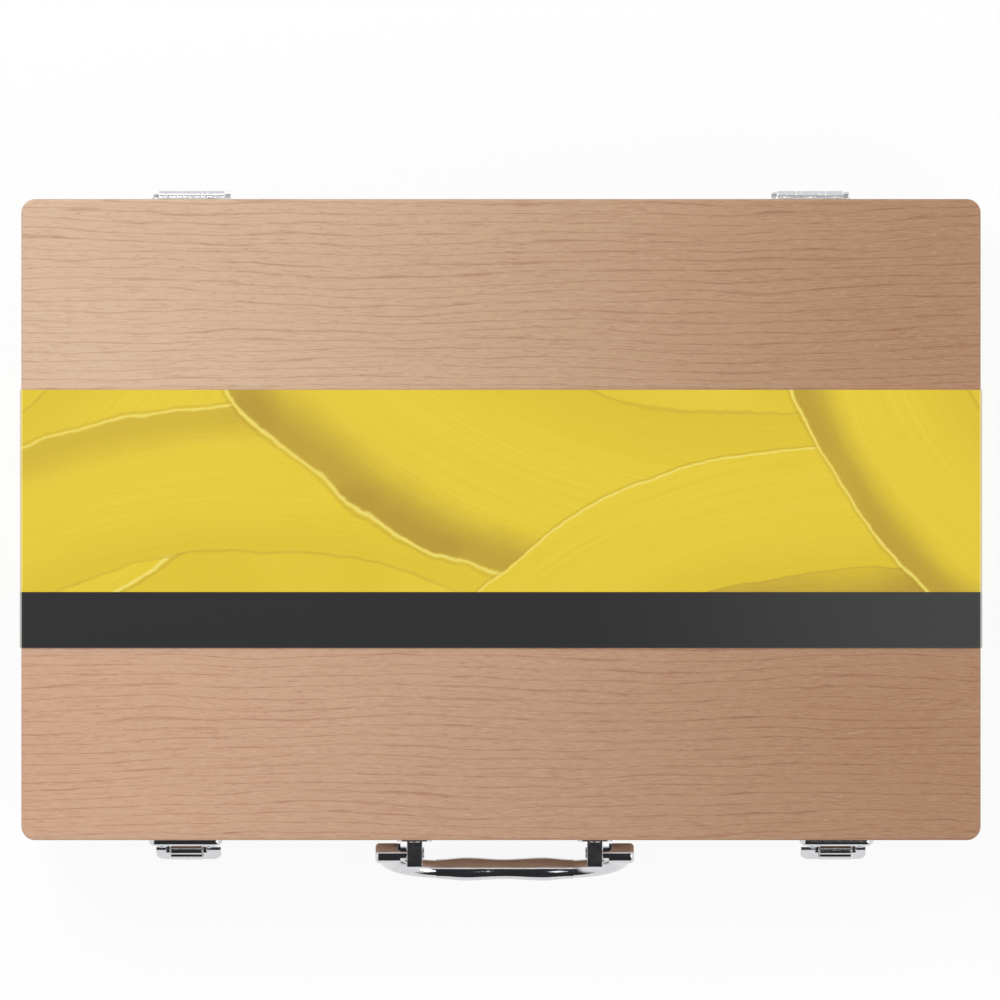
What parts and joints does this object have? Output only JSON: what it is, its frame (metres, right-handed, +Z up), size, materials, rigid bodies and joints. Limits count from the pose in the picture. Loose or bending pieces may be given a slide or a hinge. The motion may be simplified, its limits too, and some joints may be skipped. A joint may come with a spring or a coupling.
{
  "type": "acrylic paint set",
  "caption": "Hinged beech case with latches and a swinging handle, holding paint tubes, brushes and a palette, closed by a sliding printed card sleeve.",
  "frame": {"origin": "centre of the closed case's footprint, on the surface that the sleeve's underside rests on", "axes": "+X along the case's length with the handle in front, +Y towards the hinges, +Z up"},
  "size_m": [0.3812, 0.2778, 0.0695],
  "materials": {
    "beech_wood": "satin-lacquered beech, grain along the length of each board",
    "ply_wood": "bare light plywood",
    "palette_wood": "oiled thin plywood",
    "printed_card": "glossy laminated printed card, yellow over a black strip",
    "chrome_metal": "bright chrome plate",
    "screw_steel": "bright plated steel",
    "cap_plastic": "black moulded plastic with flutes",
    "brush_lacquer": "glossy red-brown lacquer",
    "ferrule_metal": "polished thin metal",
    "brush_hair": "golden-brown synthetic hair",
    "paint_white": "laminate tube with a broad colour band",
    "paint_yellow": "laminate tube with a broad colour band",
    "paint_orange": "laminate tube with a broad colour band",
    "paint_red": "laminate tube with a broad colour band",
    "paint_crimson": "laminate tube with a broad colour band",
    "paint_violet": "laminate tube with a broad colour band",
    "paint_blue": "laminate tube with a broad colour band",
    "paint_green": "laminate tube with a broad colour band",
    "paint_brown": "laminate tube with a broad colour band",
    "paint_black": "laminate tube with a broad colour band"
  },
  "bodies": {
    "base": {"base_back_wall": "beech_wood", "base_front_wall": "beech_wood", "base_left_wall": "beech_wood", "base_panel": "beech_wood", "base_right_wall": "beech_wood", "brush_divider": "ply_wood", "brush_ferrules": "ferrule_metal", "brush_hairs": "brush_hair", "brush_handles": "brush_lacquer", "brush_rests": "ply_wood", "centre_divider": "ply_wood", "handle_bracket_screws": "screw_steel", "handle_left_bracket": "chrome_metal", "handle_right_bracket": "chrome_metal", "hinge_base_screws": "screw_steel", "hinge_left_base_leaf": "chrome_metal", "hinge_left_pin": "chrome_metal", "hinge_right_base_leaf": "chrome_metal", "hinge_right_pin": "chrome_metal", "latch_keeper_screws": "screw_steel", "latch_left_keeper": "chrome_metal", "latch_right_keeper": "chrome_metal", "paint_tube_black": "paint_black", "paint_tube_blue": "paint_blue", "paint_tube_brown": "paint_brown", "paint_tube_crimson": "paint_crimson", "paint_tube_green": "paint_green", "paint_tube_orange": "paint_orange", "paint_tube_red": "paint_red", "paint_tube_violet": "paint_violet", "paint_tube_white": "paint_white", "paint_tube_yellow": "paint_yellow", "tube_caps": "cap_plastic", "tube_rails": "ply_wood"},
    "lid": {"lid_panel": "beech_wood", "lid_front_wall": "beech_wood", "lid_back_wall": "beech_wood", "lid_left_wall": "beech_wood", "lid_right_wall": "beech_wood", "hinge_left_lid_leaf": "chrome_metal", "hinge_right_lid_leaf": "chrome_metal", "hinge_lid_screws": "screw_steel", "latch_left_plate": "chrome_metal", "latch_right_plate": "chrome_metal", "latch_left_pin": "chrome_metal", "latch_right_pin": "chrome_metal", "latch_plate_screws": "screw_steel", "palette": "palette_wood", "palette_blocks": "beech_wood", "turn_button_screws": "screw_steel"},
    "handle": {"handle_bail": "chrome_metal", "handle_pins": "chrome_metal"},
    "left_hasp": {"latch_left_hasp": "chrome_metal"},
    "right_hasp": {"latch_right_hasp": "chrome_metal"},
    "sleeve_upper": {"sleeve_top": "printed_card"},
    "sleeve_lower": {"sleeve_bottom": "printed_card"},
    "left_button": {"turn_button_left": "beech_wood"},
    "right_button": {"turn_button_right": "beech_wood"}
  },
  "joints": [
    {"name": "lid_hinge", "type": "hinge", "parent": "base", "child": "lid", "pos_m": [0, 0.1294, 0.04475], "axis": [-1, 0, 0], "range_deg": [0, 100]},
    {"name": "handle_swing", "type": "hinge", "parent": "base", "child": "handle", "pos_m": [0.0015, -0.134, 0.034], "axis": [-1, 0, 0], "range_deg": [0, 150]},
    {"name": "left_latch", "type": "hinge", "parent": "lid", "child": "left_hasp", "pos_m": [-0.1255, -0.1316, 0.0469], "axis": [-1, 0, 0], "range_deg": [0, 150]},
    {"name": "right_latch", "type": "hinge", "parent": "lid", "child": "right_hasp", "pos_m": [0.1335, -0.1316, 0.0469], "axis": [-1, 0, 0], "range_deg": [0, 150]},
    {"name": "sleeve_slide", "type": "slide", "parent": "lid", "child": "sleeve_upper", "axis": [0, -1, 0], "range_m": [0, 0.2]},
    {"name": "sleeve_slide_lower", "type": "slide", "parent": "base", "child": "sleeve_lower", "axis": [0, -1, 0], "range_m": [0, 0.2]},
    {"name": "left_button_turn", "type": "hinge", "parent": "lid", "child": "left_button", "pos_m": [-0.1745, 0, 0.0591], "axis": [0, 0, -1], "range_deg": [0, 90]},
    {"name": "right_button_turn", "type": "hinge", "parent": "lid", "child": "right_button", "pos_m": [0.1745, 0, 0.0591], "axis": [0, 0, 1], "range_deg": [0, 90]}
  ],
  "couplings": [
    {"joint": "sleeve_slide_lower", "follows": "sleeve_slide", "ratio": 1}
  ]
}
